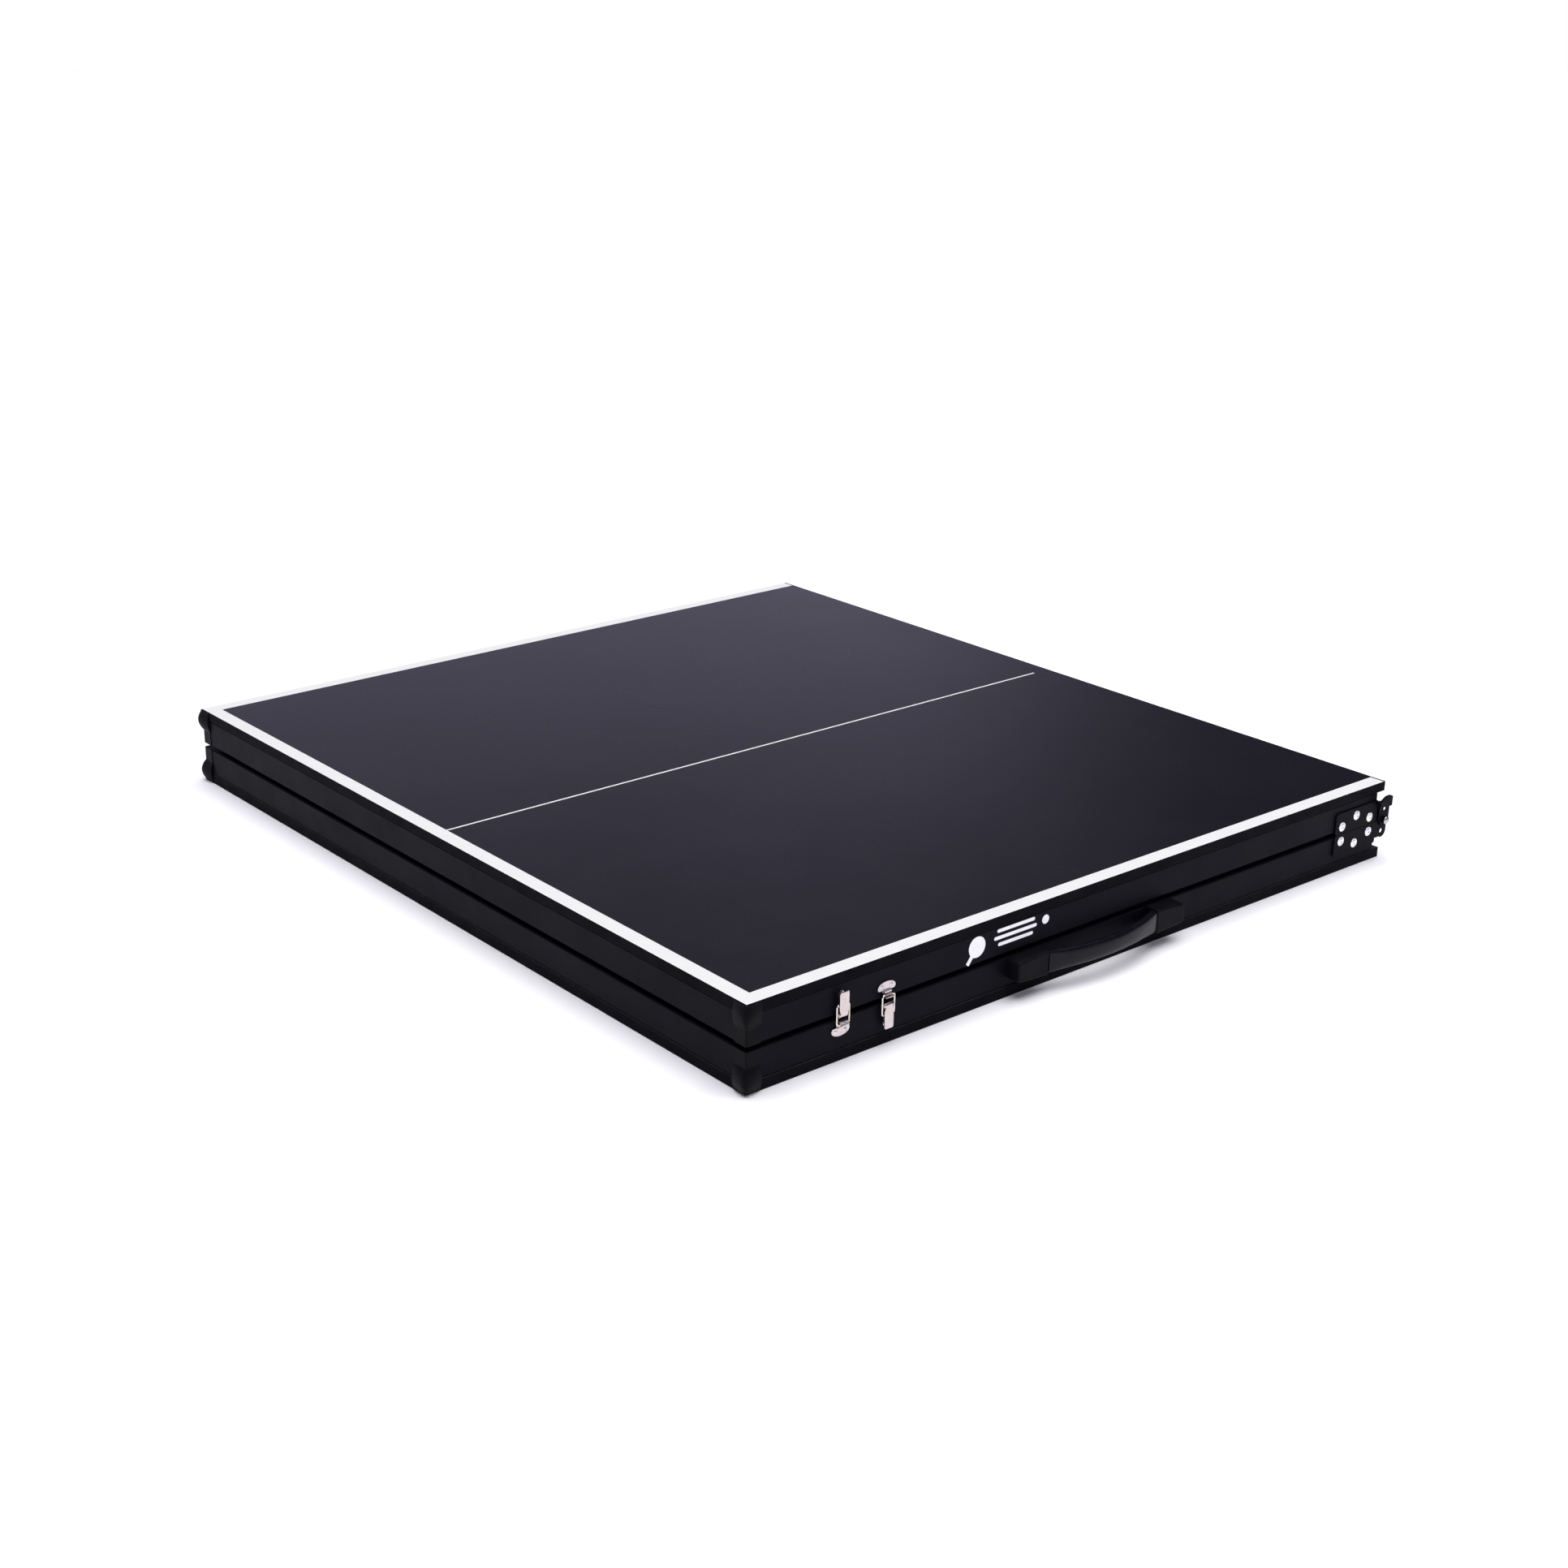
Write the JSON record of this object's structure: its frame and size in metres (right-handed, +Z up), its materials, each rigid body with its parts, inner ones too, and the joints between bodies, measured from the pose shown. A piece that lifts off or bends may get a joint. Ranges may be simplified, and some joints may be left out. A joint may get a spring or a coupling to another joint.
{
  "type": "ping pong table",
  "caption": "Mid-size ping pong table that folds in half like a suitcase, shown closed, with draw latches, carrying handle, edge hinges and stowed folding legs.",
  "frame": {"origin": "centre of the lower board's playing face, which the closed case rests on", "axes": "+Z up through the closed case, +Y from the latch and handle side to the back, +X from the open end to the fold line"},
  "size_m": [1.0443, 1.1919, 0.101],
  "materials": {
    "board": "dark blue-black lacquered medium-density fibreboard with white lines, satin",
    "rail": "black powder coat on rolled steel channel, fine satin",
    "hinge": "black enamel on pressed steel plate",
    "plastic": "black moulded plastic, fine-grained satin",
    "rubber": "black rubber, dull",
    "nickel": "warm nickel plate, bright",
    "zinc": "bright zinc-plated steel",
    "leg": "black powder-coated steel tube, satin",
    "grip": "black flexible moulded plastic, satin"
  },
  "bodies": {
    "lower_half": {"lower_board": "board", "lower_end_rail": "rail", "lower_hinge_rail": "rail", "lower_front_rail": "rail", "lower_front_corner": "plastic", "lower_front_hinge_plate": "hinge", "lower_front_leg_bolt": "zinc", "lower_front_leg_bracket": "hinge", "lower_front_leg_clip": "plastic", "lower_back_rail": "rail", "lower_back_corner": "plastic", "lower_back_hinge_plate": "hinge", "lower_back_leg_bolt": "zinc", "lower_back_leg_bracket": "hinge", "lower_back_leg_clip": "plastic", "front_hinge_pin": "nickel", "back_hinge_pin": "nickel", "front_end_pad": "rubber", "front_fold_pad": "rubber", "back_end_pad": "rubber", "back_fold_pad": "rubber", "latch_a_catch": "nickel", "latch_b_base": "nickel", "latch_b_pin": "nickel", "handle_left_cap": "plastic", "handle_right_cap": "plastic"},
    "upper_half": {"upper_board": "board", "upper_end_rail": "rail", "upper_hinge_rail": "rail", "upper_front_rail": "rail", "upper_front_corner": "plastic", "upper_front_hinge_plate": "hinge", "upper_front_leg_bolt": "zinc", "upper_front_leg_bracket": "hinge", "upper_front_leg_clip": "plastic", "upper_back_rail": "rail", "upper_back_corner": "plastic", "upper_back_hinge_plate": "hinge", "upper_back_leg_bolt": "zinc", "upper_back_leg_bracket": "hinge", "upper_back_leg_clip": "plastic", "front_hinge_hood": "plastic", "back_hinge_hood": "plastic", "latch_a_base": "nickel", "latch_a_pin": "nickel", "latch_b_catch": "nickel"},
    "lower_front_leg": {"lower_front_leg_tube": "leg", "lower_front_leg_foot": "rubber"},
    "lower_back_leg": {"lower_back_leg_tube": "leg", "lower_back_leg_foot": "rubber"},
    "upper_front_leg": {"upper_front_leg_tube": "leg", "upper_front_leg_foot": "rubber"},
    "upper_back_leg": {"upper_back_leg_tube": "leg", "upper_back_leg_foot": "rubber"},
    "latch_a_lever": {"latch_a_lever": "nickel"},
    "latch_a_bail": {"latch_a_bail": "nickel"},
    "latch_b_lever": {"latch_b_lever": "nickel"},
    "latch_b_bail": {"latch_b_bail": "nickel"},
    "handle_grip": {"handle_grip": "grip"}
  },
  "joints": [
    {"name": "case_fold", "type": "hinge", "parent": "lower_half", "child": "upper_half", "pos_m": [0.515, 0, 0.0505], "axis": [0, 1, 0], "range_deg": [0, 180]},
    {"name": "lower_front_leg_fold", "type": "hinge", "parent": "lower_half", "child": "lower_front_leg", "pos_m": [-0.467, -0.515, 0.0305], "axis": [1, 0, 0], "range_deg": [0, 90]},
    {"name": "lower_back_leg_fold", "type": "hinge", "parent": "lower_half", "child": "lower_back_leg", "pos_m": [-0.432, 0.515, 0.0305], "axis": [-1, 0, 0], "range_deg": [0, 90]},
    {"name": "upper_front_leg_fold", "type": "hinge", "parent": "upper_half", "child": "upper_front_leg", "pos_m": [-0.467, -0.515, 0.0705], "axis": [-1, 0, 0], "range_deg": [0, 90]},
    {"name": "upper_back_leg_fold", "type": "hinge", "parent": "upper_half", "child": "upper_back_leg", "pos_m": [-0.432, 0.515, 0.0705], "axis": [1, 0, 0], "range_deg": [0, 90]},
    {"name": "latch_a_throw", "type": "hinge", "parent": "upper_half", "child": "latch_a_lever", "pos_m": [-0.3895, -0.5785, 0.0545], "axis": [1, 0, 0], "range_deg": [0, 130]},
    {"name": "latch_a_bail_swing", "type": "hinge", "parent": "latch_a_lever", "child": "latch_a_bail", "pos_m": [-0.3895, -0.5785, 0.0655], "axis": [1, 0, 0], "range_deg": [-130, 0]},
    {"name": "latch_b_throw", "type": "hinge", "parent": "lower_half", "child": "latch_b_lever", "pos_m": [-0.3263, -0.5785, 0.0465], "axis": [-1, 0, 0], "range_deg": [0, 130]},
    {"name": "latch_b_bail_swing", "type": "hinge", "parent": "latch_b_lever", "child": "latch_b_bail", "pos_m": [-0.3263, -0.5785, 0.0355], "axis": [-1, 0, 0], "range_deg": [-130, 0]},
    {"name": "handle_pull", "type": "slide", "parent": "lower_half", "child": "handle_grip", "axis": [0, -1, 0], "range_m": [0, 0.005]}
  ],
  "couplings": [
    {"joint": "lower_front_leg_fold", "follows": "case_fold", "ratio": 0.5},
    {"joint": "lower_back_leg_fold", "follows": "case_fold", "ratio": 0.5},
    {"joint": "upper_front_leg_fold", "follows": "case_fold", "ratio": 0.5},
    {"joint": "upper_back_leg_fold", "follows": "case_fold", "ratio": 0.5},
    {"joint": "latch_a_bail_swing", "follows": "latch_a_throw", "ratio": -1},
    {"joint": "latch_b_bail_swing", "follows": "latch_b_throw", "ratio": -1}
  ]
}
